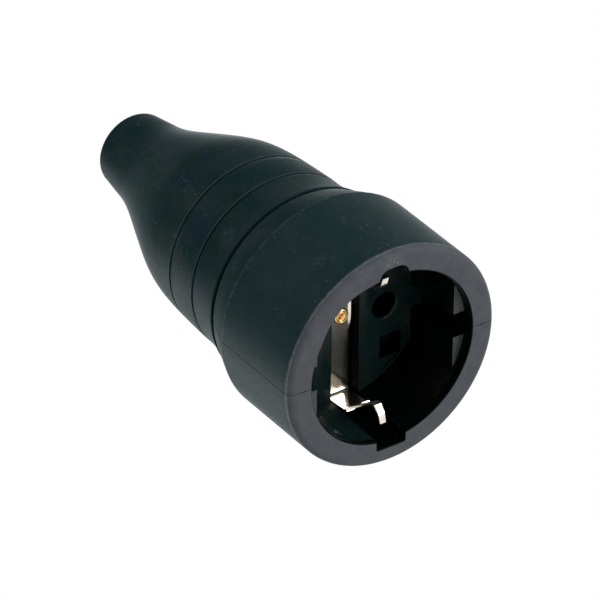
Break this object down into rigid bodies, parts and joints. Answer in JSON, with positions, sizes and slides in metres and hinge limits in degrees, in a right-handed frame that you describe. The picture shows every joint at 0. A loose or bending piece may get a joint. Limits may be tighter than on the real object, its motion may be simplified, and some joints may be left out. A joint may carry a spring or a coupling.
{
  "type": "inline socket connector",
  "caption": "Inline mains socket in a rubber housing: a round recess with pin holes and sprung earth clips at the front, and a tapered rear with a hole for the cord.",
  "frame": {"origin": "middle of the rim at the plane of the mouth, with the part standing on its rim", "axes": "+Z along the housing from the mouth to the cord end, X through the two pin holes, Y through the two earth clips, with the square notch at +Y"},
  "size_m": [0.05, 0.05, 0.095],
  "materials": {
    "housing_rubber": "matt black moulded rubber with fine dust and scuffed edges",
    "insert_plastic": "smooth black moulded plastic",
    "carrier_plastic": "plain black moulded plastic",
    "nickel_plate": "bright nickel plate on rolled sheet",
    "bare_brass": "plain stamped brass",
    "spring_steel": "rolled spring steel",
    "zinc_steel": "zinc plate"
  },
  "bodies": {
    "root": {"rubber_housing": "housing_rubber", "socket_insert": "insert_plastic", "contact_carrier": "carrier_plastic", "cord_grip_bar": "carrier_plastic", "earth_strap": "nickel_plate", "strap_rivet": "bare_brass", "rivet_washer": "zinc_steel", "earth_tab": "bare_brass", "line_contact": "bare_brass", "neutral_contact": "bare_brass", "earth_clamp": "zinc_steel", "line_clamp": "zinc_steel", "neutral_clamp": "zinc_steel", "line_spring": "spring_steel", "neutral_spring": "spring_steel", "terminal_screws": "zinc_steel", "carrier_screws": "zinc_steel", "cord_grip_screws": "zinc_steel", "cord_grip_nuts": "zinc_steel"}
  },
  "joints": []
}
